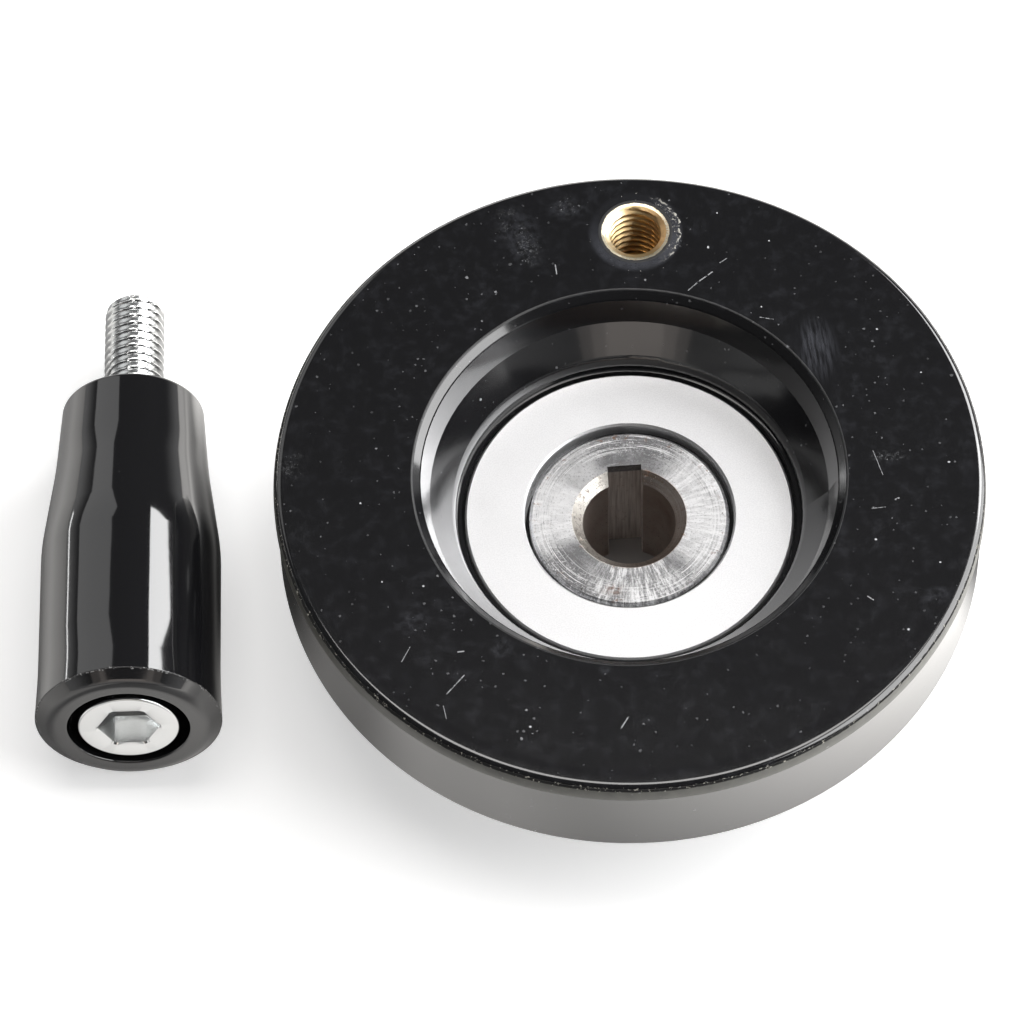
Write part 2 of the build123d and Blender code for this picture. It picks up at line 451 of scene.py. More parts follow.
@dataclass(frozen=True)
class WheelPhenolic:
    """Glossy black moulding with dust, short scratches, smudges and a chipped parting line."""

    face_height: float
    insert_place: tuple[float, float]
    colour: Colour = (0.0065, 0.0065, 0.0074)
    dust_colour: Colour = (0.55, 0.56, 0.58)
    haze_colour: Colour = (0.045, 0.047, 0.056)
    lip_colour: Colour = (0.1, 0.1, 0.085)
    chip_colour: Colour = (0.5, 0.48, 0.42)
    crack_shade_colour: Colour = (0.003, 0.003, 0.003)
    roughness: float = 0.12
    coat_roughness: float = 0.08
    ior: float = 1.62
    recess_radius: float = 26.5
    mouth_radius: float = 27.6
    edge_radius: float = 42.0
    edge_depth: float = 0.38
    lip_depth: float = 2.5
    flake_radius: float = 6.2
    crumb_radius: float = 5.1
    scratches: tuple[Scratch, ...] = (
        Scratch((7.6, 27.4), (8.7, 28.5)),
        Scratch((8.9, 28.7), (10.7, 30.2), 0.17),
        Scratch((11.7, 31.6), (12.6, 32.3), 0.1),
        Scratch((16.8, 23.3), (18.5, 23.0), 0.13),
        Scratch((-9.6, 31.3), (-9.4, 29.9), 0.16),
        Scratch((-22.6, -31.7), (-20.5, -29.1), 0.17),
        Scratch((-21.3, -25.8), (-20.6, -25.7), 0.2),
        Scratch((-1.0, -36.5), (-0.1, -34.9), 0.19),
        Scratch((-28.3, -27.2), (-27.3, -25.1), 0.1),
        Scratch((30.9, 3.4), (32.1, -0.2), 0.08),
        Scratch((30.6, -5.1), (32.3, -4.9), 0.1),
        Scratch((33.6, -3.8), (34.0, -3.6), 0.26),
        Scratch((29.8, -17.8), (30.5, -18.3), 0.17),
        Scratch((-23.0, -33.4), (-22.6, -35.2), 0.09),
    )
    specks: tuple[Patch, ...] = tuple(Patch(*sizes) for sizes in (
        (10.2, 34.0, 0.2, 0.26), (11.4, 39.3, 0.15, 0.15), (18.1, 35.0, 0.17, 0.14),
        (17.0, 24.9, 0.15, 0.15), (31.8, 21.5, 0.18, 0.18), (37.3, 15.0, 0.15, 0.15),
        (24.7, 11.2, 0.16, 0.16), (-25.8, -16.4, 0.19, 0.19), (-12.2, -36.3, 0.22, 0.2),
        (-34.0, -4.4, 0.17, 0.17), (40.5, 1.7, 0.24, 0.17), (31.0, -9.6, 0.22, 0.2),
        (34.8, -22.5, 0.22, 0.22), (39.0, -12.9, 0.18, 0.16), (-31.0, -15.8, 0.16, 0.16),
    ))
    dusty: tuple[Patch, ...] = (
        Patch(-15.4, 37.6, 3.0, 3.6, 20.0),
        Patch(-13.2, 33.4, 2.4, 3.8, 15.0),
        Patch(-8.1, 40.1, 2.8, 2.2, 20.0),
        Patch(-43.0, 0.9, 3.4, 3.0),
        Patch(32.8, 2.6, 3.6, 1.3),
    )
    smudges: tuple[Patch, ...] = (
        Patch(-15.7, -25.2, 2.4, 2.2),
        Patch(-27.0, -21.5, 3.4, 2.4, 20.0),
        Patch(38.5, -17.6, 3.0, 1.7, 20.0),
        Patch(-3.0, -28.2, 1.0, 1.0),
        Patch(-14.2, 35.6, 4.2, 6.6, 24.0),
        Patch(-8.0, 40.1, 4.0, 2.6),
    )
    streaked: Patch = Patch(24.1, 18.6, 3.4, 6.0, 8.0)

    def material(self) -> bpy.types.Material:
        """Make the material."""
        recipe = Recipe("wheel_phenolic")
        point = recipe.place()
        x, y, z = recipe.axes(point)
        radius = (x * x + y * y) ** 0.5
        depth = self.face_height - z
        top = depth.rise(0.5, 0.15)

        cloud = recipe.noise(point, 9.0, 3.0, 0.6)
        dusty = together([patch.mask(x, y) for patch in self.dusty]) * top
        dust = self._dust(recipe, point, cloud, dusty)
        specks = together([speck.mask(x, y) for speck in self.specks]) * top
        marks = self._marks(recipe, point, x, y, cloud) * top | self._wall_marks(recipe, x, y, radius, depth)
        flaked, ring_haze = self._round_insert(recipe, point, x, y, top)
        haze = self._haze(recipe, point, x, y, cloud) * top | ring_haze

        wobble = recipe.noise(point, 1.1, 4.0, 0.7)
        edge = radius.rise(self.edge_radius, self.edge_radius + 0.5)
        # The parting crack is real, but its line is painted darker than the moulding as the shade inside a groove
        # too narrow to shade itself.
        crack = (depth + wobble * 0.34).near(self.edge_depth + 0.3, 0.17, 0.04) * edge
        chips = (depth + wobble * 0.6).near(self.edge_depth + 0.42, 0.22, 0.05) * edge
        chips = chips * recipe.noise(point, 0.45, 3.0, 0.75).rise(0.6, 0.63)
        lip = depth.rise(self.edge_depth + 0.2, self.edge_depth + 0.26) * edge
        lip = lip * depth.rise(self.lip_depth + 0.06, self.lip_depth - 0.02)
        bare = together([dust, specks, flaked, chips])
        mouth = radius.near(self.mouth_radius, 0.16, 0.05)

        colour = recipe.blend(haze, self.colour, self.haze_colour)
        colour = recipe.blend(lip * (recipe.noise(point, 1.6, 3.0) * 0.8 + 0.35), colour, self.lip_colour)
        colour = recipe.blend(crack, colour, self.crack_shade_colour)
        colour = recipe.blend(marks * 0.6, colour, self.dust_colour)
        colour = recipe.blend((flaked | chips) * 0.85, colour, self.chip_colour)
        colour = recipe.blend(dust | specks, colour, self.dust_colour)
        rough = self.roughness + 0.1 * haze + 0.28 * lip + 0.3 * marks + 0.04 * cloud
        rough = rough | bare * 0.8 | crack * 0.9 | mouth * 0.45
        normal = recipe.bump(recipe.noise(point, 7.0, 1.0), 0.02)
        normal = recipe.bump(chips | flaked, 0.05, normal)
        coat = 1 - together([bare, lip, crack, mouth])
        return recipe.finish({"Base Color": colour, "Roughness": rough, "IOR": self.ior, "Normal": normal,
                              "Coat Weight": coat, "Coat Roughness": self.coat_roughness})

    def _dust(self, recipe: Recipe, point: Socket, cloud: Amount, dusty: Amount) -> Amount:
        """Dust specks, thicker in clouds and in the dusty patches."""
        thick = cloud.rise(0.4, 0.66) * 0.7 + 0.3
        torn = self._torn(recipe, point)
        faint = recipe.specks(torn, 0.9, 0.17, 0.75) * thick * 0.22
        small = recipe.specks(torn, 2.1, 0.24, 0.5) * thick * 0.42
        bright = recipe.specks(torn, 3.9, 0.25, 0.26) * 0.9
        uneven = dusty * recipe.noise(point, 1.8, 3.0, 0.6).rise(0.34, 0.66)
        powder = recipe.noise(point, 0.4, 3.0, 0.75).rise(0.45, 0.75) * uneven * 0.16
        grains = recipe.specks(point, 0.42, 0.1, 0.5) * uneven * 0.5
        return together([faint, small, bright, powder, grains])

    def _torn(self, recipe: Recipe, point: Socket) -> Socket:
        """The place with a fine jitter, which makes specks ragged."""
        x, y, z = recipe.axes(point)
        aside = recipe.noise(point, 0.22, 2.0, 0.7) - 0.5
        along = recipe.noise(recipe.vector(y, z, x), 0.22, 2.0, 0.7) - 0.5
        return recipe.vector(x + aside * 0.4, y + along * 0.4, z)

    def _marks(self, recipe: Recipe, point: Socket, x: Amount, y: Amount, cloud: Amount) -> Amount:
        """Scratches on the face: those of the photograph, and short ones strewn between them."""
        placed = together([scratch.mask(x, y) for scratch in self.scratches])
        short = recipe.scratches(point, 3.0, 1.9, 0.11, 0.5, 0.0) * (cloud * 0.6 + 0.15)
        long = recipe.scratches(point, 12.0, 5.0, 0.1, 0.35, 40.0) * 0.35
        ticks = recipe.scratches(point, 1.7, 1.0, 0.11, 0.5, 21.0) * (cloud * 0.8 + 0.05)
        broken = recipe.noise(point, 0.5, 2.0, 0.6).rise(0.3, 0.5)
        return together([placed * broken, short, long, ticks])

    def _wall_marks(self, recipe: Recipe, x: Amount, y: Amount, radius: Amount, depth: Amount) -> Amount:
        """Short scratches on the left part of the recess's wall."""
        along = y.math("ARCTAN2", x) * 24.0
        place = recipe.vector(along, depth * 1.25)
        inside = radius.rise(self.recess_radius, self.recess_radius - 0.5) * depth.rise(1.0, 2.0)
        left = x.rise(-8.0, -18.0) * 0.8 + 0.2
        return recipe.scratches(place, 1.9, 1.1, 0.09, 0.45, 7.0) * inside * left * 0.6

    def _round_insert(self, recipe: Recipe, point: Socket, x: Amount, y: Amount,
                      top: Amount) -> tuple[Amount, Amount]:
        """White flakes beside the brass insert, and the dull ring round it."""
        from_x, from_y = x - self.insert_place[0], y - self.insert_place[1]
        distance = (from_x * from_x + from_y * from_y) ** 0.5
        right = recipe.lobe(from_x / distance, from_y / distance, 8.0, 45.0)
        below = recipe.lobe(from_x / distance, from_y / distance, 265.0, 80.0)
        wobble = recipe.noise(point, 1.2, 2.0) * 0.9
        broken = recipe.noise(point, 0.7, 3.0, 0.7).rise(0.46, 0.56)
        line = (distance + wobble).near(self.flake_radius, 0.1, 0.06) * broken
        crumbs = recipe.noise(point, 0.36, 4.0, 0.8).rise(0.58, 0.62)
        crumbs = crumbs * distance.near(self.crumb_radius, 0.6, 0.4)
        flaked = (line | crumbs * 0.8) * right * top
        strewn = recipe.specks(point, 0.5, 0.12, 0.35) * distance.rise(7.6, 5.2) * 0.8
        ring = distance.rise(6.4, 5.5) * (below * 0.65 + right * 0.6 + 0.15)
        ring = ring * (recipe.noise(point, 0.8, 3.0, 0.65) * 1.1 + 0.3)
        return flaked | strewn * top, ring * top

    def _haze(self, recipe: Recipe, point: Socket, x: Amount, y: Amount, cloud: Amount) -> Amount:
        """A thin grey film: faint all over, stronger in the smudges and in one streaked patch."""
        smudged = together([smudge.mask(x, y) for smudge in self.smudges])
        smudged = smudged * recipe.noise(point, 1.0, 3.0, 0.65).rise(0.35, 0.7) * 0.45
        streaks = recipe.noise(recipe.vector(x * 2.2 + y * 0.3, y * 0.22), 1.0, 3.0, 0.6).rise(0.35, 0.65)
        film = recipe.noise(point, 2.0, 4.0, 0.7).rise(0.45, 0.75) * cloud * 0.35
        return together([smudged, self.streaked.mask(x, y) * streaks * 0.8, film])


@dataclass(frozen=True)
class GripPhenolic:
    """Polished black moulding of the grip, with a chipped parting line at its big end."""

    colour: Colour = (0.008, 0.008, 0.009)
    dust_colour: Colour = (0.4, 0.4, 0.4)
    roughness: float = 0.07
    coat_roughness: float = 0.05
    ior: float = 1.6
    parting_reach: float = 0.09
    parting_radius: float = 10.5

    def material(self) -> bpy.types.Material:
        """Make the material."""
        recipe = Recipe("grip_phenolic")
        point = recipe.place()
        x, y, z = recipe.axes(point)
        radius = (x * x + y * y) ** 0.5
        dust = recipe.specks(point, 2.2, 0.09, 0.4)
        wobble = recipe.noise(point, 0.8, 3.0, 0.7)
        parting = (z + wobble * 0.2).near(0.1, self.parting_reach, 0.04)
        parting = parting * radius.rise(self.parting_radius, self.parting_radius + 0.5)
        chips = recipe.noise(point, 0.5, 3.0, 0.7).rise(0.57, 0.61) * parting
        wave = recipe.noise(point, 6.0, 2.0, 0.4)
        colour = recipe.blend(dust * 0.7 | chips * 0.8, self.colour, self.dust_colour)
        rough = self.roughness + (dust | chips) * 0.5
        normal = recipe.bump(wave, 0.02)
        normal = recipe.bump(chips, 0.03, normal)
        return recipe.finish({"Base Color": colour, "Roughness": rough, "IOR": self.ior, "Normal": normal,
                              "Coat Weight": 1 - (dust | chips), "Coat Roughness": self.coat_roughness})


@dataclass(frozen=True)
class TurnedSteel:
    """Turned steel of the hub: painted glare in bright lobes on dark steel, tool marks, pits, rust specks and a
    dark keyed bore.
    """

    face_height: float
    bore_radius: float
    edge_radius: float
    chamfer: float
    keyway_turn: float = 5.0
    keyway_half: float = 2.3
    keyway_from: float = 5.4
    # dark and bright are painted shade and painted glare on the turned face, not two kinds of steel.
    dark: Colour = (0.17, 0.17, 0.175)
    bright: Colour = (0.86, 0.86, 0.87)
    beige: Colour = (0.98, 0.94, 0.86)
    brown: Colour = (0.3, 0.22, 0.17)
    rust: Colour = (0.16, 0.07, 0.03)
    bore_colour: Colour = (0.5, 0.45, 0.42)
    bore_brown: Colour = (0.36, 0.28, 0.24)
    keyway_colour: Colour = (0.95, 0.9, 0.86)
    pit_colour: Colour = (0.06, 0.05, 0.045)
    smear: Patch = Patch(-2.0, -10.6, 2.0, 1.1)

    def material(self) -> bpy.types.Material:
        """Make the material."""
        recipe = Recipe("turned_steel")
        point = recipe.place()
        x, y, z = recipe.axes(point)
        radius = (x * x + y * y) ** 0.5
        turn = y.math("ARCTAN2", x)
        chamfer_edge = self.bore_radius + self.chamfer
        inner = radius.rise(chamfer_edge + 0.12, chamfer_edge - 0.02)
        bore = z.rise(self.face_height - self.chamfer + 0.05, self.face_height - self.chamfer - 0.25)
        bore = bore * radius.rise(self.edge_radius - 1.0, self.edge_radius - 1.5)

        # Painted reflection: the turned face is painted between dark and bright steel, bright where it would
        # mirror the lights.
        glare_and_marks, streaks, arcs = self._painted_glare_and_marks(recipe, point, x, y, radius, turn)
        colour = recipe.blend(glare_and_marks, self.dark, self.bright)
        stain = recipe.noise(point, 2.4, 4.0, 0.65)
        # Painted highlight: the left part of the bore's chamfer, which faces the right-hand lights, is painted
        # beige, broken by noise.
        left = recipe.lobe(x / radius, y / radius, 175.0, 75.0)
        wear_and_glint_noise = recipe.noise(point, 0.5, 3.0, 0.7)
        rings = recipe.noise(recipe.vector(radius * 4.0, turn * 0.6), 1.0, 2.0, 0.6).rise(0.35, 0.65)
        cone = recipe.blend(rings * 0.6, self.brown, self.bore_colour)
        cone = recipe.blend(left * wear_and_glint_noise.rise(0.3, 0.5), cone, self.beige)
        colour = recipe.blend(inner * (wear_and_glint_noise * 0.4 + 0.6), colour, cone)
        rust = recipe.noise(point, 0.8, 4.0, 0.7).rise(0.58, 0.64)
        near_edge = radius.near(chamfer_edge - 0.3, 0.5, 0.6) | radius.near(self.edge_radius - 0.7, 0.4, 0.5)
        rust = rust * stain.rise(0.42, 0.58) * (near_edge * 0.9 + 0.1)
        smear = self.smear.mask(x, y) * recipe.noise(point, 0.6, 3.0, 0.7).rise(0.42, 0.6)
        pits = recipe.specks(point, 0.75, 0.14, 0.45) * (near_edge * 0.8 + 0.2)
        pits = pits | recipe.noise(point, 0.28, 3.0, 0.75).rise(0.6, 0.66) * inner * 0.8
        colour = recipe.blend(bore, colour, self._inside(recipe, point, x, y, z))
        colour = recipe.blend(rust * 0.8 | smear * 0.6, colour, self.rust)
        colour = recipe.blend(pits * 0.75, colour, self.pit_colour)
        rough = 0.3 + 0.14 * stain + 0.3 * rust + 0.12 * bore
        height = streaks * 0.35 + arcs * 0.4 + recipe.noise(point, 0.3, 2.0, 0.6) * 0.25
        normal = recipe.bump(height * (1 - bore), 0.03)
        normal = recipe.bump(1 - (pits | rust * 0.5), 0.04, normal)
        return recipe.finish(
            {"Base Color": colour, "Roughness": rough, "Metallic": 1 - 0.7 * rust, "Normal": normal})

    def _painted_glare_and_marks(self, recipe: Recipe, point: Socket, x: Amount, y: Amount, radius: Amount,
                 turn: Amount) -> tuple[Amount, Amount, Amount]:
        """Painted glare on the turned face: how bright it is painted where it would mirror the lights, with its
        radial streaks and its circular tool marks.
        """
        across, up = x / radius, y / radius
        streaks = recipe.noise(recipe.vector(turn * 22.0, radius * 0.3), 1.0, 4.0, 0.75)
        arcs = recipe.noise(recipe.vector(radius * 5.0, turn * 1.2), 1.0, 3.0, 0.7)
        grain = recipe.noise(point, 0.3, 4.0, 0.8)
        blotch = recipe.noise(point, 2.4, 3.0, 0.65)
        left = recipe.lobe(across, up, 174.0, 27.0)
        right = recipe.lobe(across, up, 8.0, 44.0)
        below = recipe.lobe(across, up, 275.0, 30.0)
        above = recipe.lobe(across, up, 140.0, 22.0) * 0.45
        streaky = streaks.rise(0.42, 0.62)
        # Painted glare: bright lobes to the left, right, below and upper left stand in for the face's reflections
        # of the lights.
        sectors = together([left * (0.7 + 0.2 * streaky), right * (0.6 + 0.35 * streaky),
                            below * (0.1 + 0.75 * streaky), above])
        outer = radius.rise(9.0, 10.6)
        scored = arcs.rise(0.52, 0.62) * (0.25 + 0.75 * outer)
        speckled = grain.rise(0.53, 0.64) * (outer * 0.6 + 0.3)
        worn = grain.rise(0.5, 0.3) * 0.6 + (blotch - 0.5) * 0.8 + arcs.rise(0.48, 0.36) * outer * 0.3
        glare_and_marks = (together([sectors + 0.1, scored, speckled]) - worn).math("ADD", 0.0, clamp=True)
        return glare_and_marks, streaks, arcs

    def _inside(self, recipe: Recipe, point: Socket, x: Amount, y: Amount, z: Amount) -> Socket:
        """The colour of the bore, and of the lighter, striped keyway."""
        turn = math.radians(self.keyway_turn)
        across = x * math.cos(turn) + y * math.sin(turn)
        up = y * math.cos(turn) - x * math.sin(turn)
        keyway = abs(across).rise(self.keyway_half, self.keyway_half - 0.05)
        keyway = keyway * up.rise(self.keyway_from, self.keyway_from + 0.2)
        stripes = recipe.noise(recipe.vector(x * 3.0, y * 1.5, z * 0.12), 1.0, 3.0, 0.6)
        walls = recipe.blend(recipe.noise(point, 2.2, 3.0, 0.6), self.bore_colour, self.bore_brown)
        keyed = recipe.blend(stripes.rise(0.2, 0.85), self.keyway_colour, self.bore_colour)
        return recipe.blend(keyway, walls, keyed)


@dataclass(frozen=True)
class SatinAluminium:
    """Fine bead-blasted aluminium of the face ring, painted darker towards its upper right as shade."""

    colour: Colour = (0.8, 0.8, 0.81)
    shade: Colour = (0.64, 0.64, 0.65)
    grain: float = 0.16
    roughness: float = 0.46
    upper_right_painted_shade: float = 0.25

    def material(self) -> bpy.types.Material:
        """Make the material."""
        recipe = Recipe("satin_aluminium")
        point = recipe.place()
        x, y, _ = recipe.axes(point)
        radius = (x * x + y * y) ** 0.5
        grain = recipe.noise(point, self.grain, 2.0, 0.6)
        cloud = recipe.noise(point, 5.0, 3.0, 0.5)
        # Painted shade: the ring is darker towards its upper right, where the recess wall shades it from the
        # lights.
        shaded = recipe.lobe(x / radius, y / radius, 28.0, 62.0) * self.upper_right_painted_shade
        colour = recipe.blend(grain.rise(0.3, 0.7) * 0.5 + cloud * 0.25 + shaded, self.colour, self.shade)
        rough = self.roughness + 0.12 * (cloud - 0.5) + 0.1 * (grain - 0.5)
        normal = recipe.bump(grain, 0.012)
        return recipe.finish({"Base Color": colour, "Roughness": rough, "Metallic": 1.0, "Normal": normal})


@dataclass(frozen=True)
class CutBrass:
    """Bright cut brass of the threaded insert, with black moulding flash over its collar, and painted highlight
    and painted shade in its thread.
    """

    face_height: float
    flash_radius: float = 4.4
    rim_radius: float = 3.98
    colour: Colour = (0.84, 0.62, 0.32)
    # cream is a painted highlight on the thread's left side and also pales the rim; orange is painted shade on its
    # right side; shade darkens tarnish and, as painted shade, the deep thread.
    cream: Colour = (0.98, 0.9, 0.7)
    orange: Colour = (0.7, 0.42, 0.2)
    shade: Colour = (0.26, 0.13, 0.05)
    flash: Colour = (0.012, 0.012, 0.013)
    roughness: float = 0.26

    def material(self) -> bpy.types.Material:
        """Make the material."""
        recipe = Recipe("cut_brass")
        point = recipe.place()
        x, y, z = recipe.axes(point)
        radius = (x * x + y * y) ** 0.5
        depth = self.face_height - z
        cloud = recipe.noise(point, 1.6, 4.0, 0.65)
        grain = recipe.noise(point, 0.2, 2.0, 0.6)
        # Painted light in the thread: the left side, which faces the right-hand lights, is painted cream as a
        # highlight; the right side is painted orange and the deeper thread brown, as shade.
        left = recipe.lobe(x / radius, y / radius, 185.0, 62.0)
        right = recipe.lobe(x / radius, y / radius, 5.0, 55.0)
        colour = recipe.blend(right * 0.7, self.colour, self.orange)
        colour = recipe.blend(left * depth.rise(4.0, 0.3) * 0.5, colour, self.cream)
        grime_and_shade = cloud.rise(0.48, 0.7) * 0.4 | depth.rise(0.8, 6.0) * (1 - left) * 0.45
        colour = recipe.blend(grime_and_shade, colour, self.shade)
        rim = radius.rise(self.rim_radius, self.rim_radius + 0.08) * depth.rise(0.35, 0.2)
        colour = recipe.blend(rim * grain.rise(0.3, 0.55), colour, self.cream)
        ragged = radius + recipe.noise(point, 0.9, 3.0, 0.65) * 0.3
        covered = ragged.rise(self.flash_radius + 0.13, self.flash_radius + 0.19) * depth.rise(0.3, 0.15)
        colour = recipe.blend(covered, colour, self.flash)
        rough = self.roughness + 0.15 * cloud + 0.15 * covered
        normal = recipe.bump(grain, 0.012)
        return recipe.finish(
            {"Base Color": colour, "Roughness": rough, "Metallic": 1 - covered, "Normal": normal})


@dataclass(frozen=True)
class ZincPlating:
    """Bright zinc plating of the spindle."""

    colour: Colour = (0.92, 0.93, 0.93)
    shade: Colour = (0.62, 0.64, 0.65)
    roughness: float = 0.16

    def material(self) -> bpy.types.Material:
        """Make the material."""
        recipe = Recipe("zinc_plating")
        point = recipe.place()
        cloud = recipe.noise(point, 1.8, 4.0, 0.6)
        grain = recipe.noise(point, 0.25, 2.0, 0.6)
        spots = recipe.specks(point, 1.0, 0.06, 0.4)
        colour = recipe.blend(cloud.rise(0.55, 0.85) * 0.2 | spots * 0.35, self.colour, self.shade)
        rough = self.roughness + 0.05 * cloud + 0.1 * spots
        normal = recipe.bump(grain * 0.6 + cloud * 0.4, 0.004)
        return recipe.finish({"Base Color": colour, "Roughness": rough, "Metallic": 1.0, "Normal": normal})


# Turned shapes


@dataclass(frozen=True)
class Corner:
    """A corner of a turned outline."""

    radius: float
    height: float
    rounding: float = 0.0


@dataclass(frozen=True)
class Outline:
    """A turned outline with rounded corners, either closed or ending on the axis."""

    corners: Sequence[Corner]
    closed: bool = False
    arc_step: float = math.radians(5.0)
    support: float = 0.05

    def points(self) -> list[tuple[float, float]]:
        """Work out the outline.

        Returns:
            Its points as (radius, height), with arcs for the roundings and a point close to each arc's ends,
            which keeps the straight runs flat in shading.
        """
        places = [Vector((corner.radius, corner.height)) for corner in self.corners]
        result = []
        for index, corner in enumerate(self.corners):
            ends_here = not self.closed and index in (0, len(places) - 1)
            if ends_here or corner.rounding == 0:
                result.extend(self._sharp(places, index, ends_here))
            else:
                result.extend(self._rounded(places, index, corner.rounding))
        return [(point.x, point.y) for point in result]

    def _sides(self, places: Sequence[Vector], index: int) -> tuple[Vector, Vector]:
        """The two directions in which a corner's sides leave it."""
        before = places[index - 1] - places[index]
        after = places[(index + 1) % len(places)] - places[index]
        return before.normalized(), after.normalized()

    def _sharp(self, places: Sequence[Vector], index: int, ends_here: bool) -> list[Vector]:
        """A sharp corner, with a point close to it on each side."""
        place = places[index]
        if ends_here:
            return [place]
        back, ahead = self._sides(places, index)
        return [place + back * self.support, place, place + ahead * self.support]

    def _rounded(self, places: Sequence[Vector], index: int, rounding: float) -> list[Vector]:
        """A rounded corner as an arc, with a point close to each of its ends."""
        back, ahead = self._sides(places, index)
        half = 0.5 * math.acos(max(-1.0, min(1.0, back.dot(ahead))))
        reach = rounding / math.tan(half)
        centre = places[index] + (back + ahead).normalized() * (rounding / math.sin(half))
        start = places[index] + back * reach
        sweep = math.pi - 2 * half
        count = max(4, math.ceil(sweep / self.arc_step))
        first = start - centre
        turn = 1.0 if back.cross(ahead) < 0 else -1.0
        arc = []
        for step in range(count + 1):
            angle = turn * sweep * step / count
            arc.append(centre + Matrix.Rotation(angle, 2) @ first)
        support = min(self.support, rounding)
        return [start + back * support, *arc, arc[-1] + ahead * support]


def circle(radius: float, height: float) -> Row:
    """A row of a turned shape that is a plain circle.

    Args:
        radius: its radius.
        height: its height.

    Returns:
        The row.
    """
    return lambda angle: (radius, height)


def hexagon(across_flats: float, height: float) -> Row:
    """A row that is a hexagon, with two corners on the X axis.

    Args:
        across_flats: the distance between opposite sides.
        height: its height.

    Returns:
        The row.
    """
    sector = math.pi / 3

    def row(angle: float) -> tuple[float, float]:
        """Radius and height at an angle."""
        return across_flats / 2 / math.cos(angle % sector - sector / 2), height

    return row


def lathed(name: str, rows: Sequence[Row], columns: int, closed: bool = False,
           sharp: float = math.radians(28.0)) -> bpy.types.Object:
    """Build a turned piece from rows that may vary with the angle.

    Args:
        name: the piece's name.
        rows: its rows, from one end of the outline to the other.
        columns: how many points each row has.
        closed: whether the last row joins the first; otherwise both ends are closed with a point on the axis.
        sharp: the angle from which an edge is sharp.

    Returns:
        The piece, with its outline's height along its own Z axis.
    """
    shape = bmesh.new()
    angles = [2 * math.pi * column / columns for column in range(columns)]
    loops = []
    for row in rows:
        loop = []
        for angle in angles:
            radius, height = row(angle)
            place = Vector((radius * math.cos(angle), radius * math.sin(angle), height)) * MM
            loop.append(shape.verts.new(place))
        loops.append(loop)
    pairs = list(zip(loops, loops[1:] + loops[:1]))
    for lower, upper in pairs if closed else pairs[:-1]:
        for column in range(columns):
            beside = (column + 1) % columns
            shape.faces.new((lower[column], lower[beside], upper[beside], upper[column]))
    if not closed:
        for loop in (loops[0], loops[-1]):
            middle = shape.verts.new(sum((vert.co for vert in loop), Vector()) / columns)
            for column in range(columns):
                shape.faces.new((middle, loop[column], loop[(column + 1) % columns]))
    bmesh.ops.recalc_face_normals(shape, faces=shape.faces)
    for side in shape.faces:
        side.smooth = True
    mesh = bpy.data.meshes.new(name)
    shape.to_mesh(mesh)
    shape.free()
    mesh.set_sharp_from_angle(angle=sharp)
    piece = bpy.data.objects.new(name, mesh)
    bpy.context.scene.collection.objects.link(piece)
    return piece


@dataclass(frozen=True)
class MetricThread:
    """A coarse metric thread with flats at its crests and roots."""

    pitch: float
    crest_radius: float
    root_radius: float
    crest_flat: float
    flank_angle: float = math.radians(30.0)
    rows_per_pitch: int = 16

    def radius(self, angle: float, height: float) -> float:
        """The thread's surface.

        Args:
            angle: the angle about the axis.
            height: the place along it.

        Returns:
            The surface's radius there.
        """
        phase = (height / self.pitch - angle / (2 * math.pi)) % 1.0
        from_crest = min(phase, 1.0 - phase) * self.pitch
        flank = abs(self.crest_radius - self.root_radius) * math.tan(self.flank_angle)
        share = max(0.0, min(1.0, (from_crest - self.crest_flat / 2) / flank))
        rounded = share * share * (3.0 - 2.0 * share)
        share = 0.6 * share + 0.4 * rounded
        return self.crest_radius + (self.root_radius - self.crest_radius) * share

    def rows(self, low: float, high: float, limit: Callable[[float, float], float]) -> list[Row]:
        """The thread's rows.

        Args:
            low: where it starts.
            high: where it ends.
            limit: gives the radius from a height and the thread's own radius there.

        Returns:
            The rows, from the start to the end.
        """
        count = math.ceil((high - low) / self.pitch * self.rows_per_pitch)
        heights = [low + (high - low) * step / count for step in range(count + 1)]

        def at(height: float) -> Row:
            """The row at one height."""
            return lambda angle: (limit(height, self.radius(angle, height)), height)

        return [at(height) for height in heights]


# Sub-assemblies


@dataclass
class Wheel:
    """The black moulding, the steel hub and the aluminium face ring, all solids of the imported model."""

    nodes: Mapping[str, bpy.types.Object]
    hub_chamfer: float = 1.35

    def dress(self, bore_radius: float, insert_place: tuple[float, float]) -> None:
        """Give the three pieces their finishes.

        Args:
            bore_radius: the radius of the hub's bore.
            insert_place: where the brass insert stands, as x and y.
        """
        face_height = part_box("wheel_body")[1][2] / MM
        hub_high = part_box("hub")[1]
        steel = TurnedSteel(hub_high[2] / MM, bore_radius, hub_high[0] / MM, self.hub_chamfer)
        phenolic = WheelPhenolic(face_height, insert_place).material()
        RimEdge(face_height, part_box("wheel_body")[1][0] / MM).build(phenolic)
        finishes = {
            "wheel_body": phenolic,
            "hub": steel.material(),
            "face_ring": SatinAluminium().material(),
        }
        for name, material in finishes.items():
            slots = self.nodes[name].data.materials
            slots.clear()
            slots.append(material)
            LOG.info("dressed %s with %s", name, material.name)


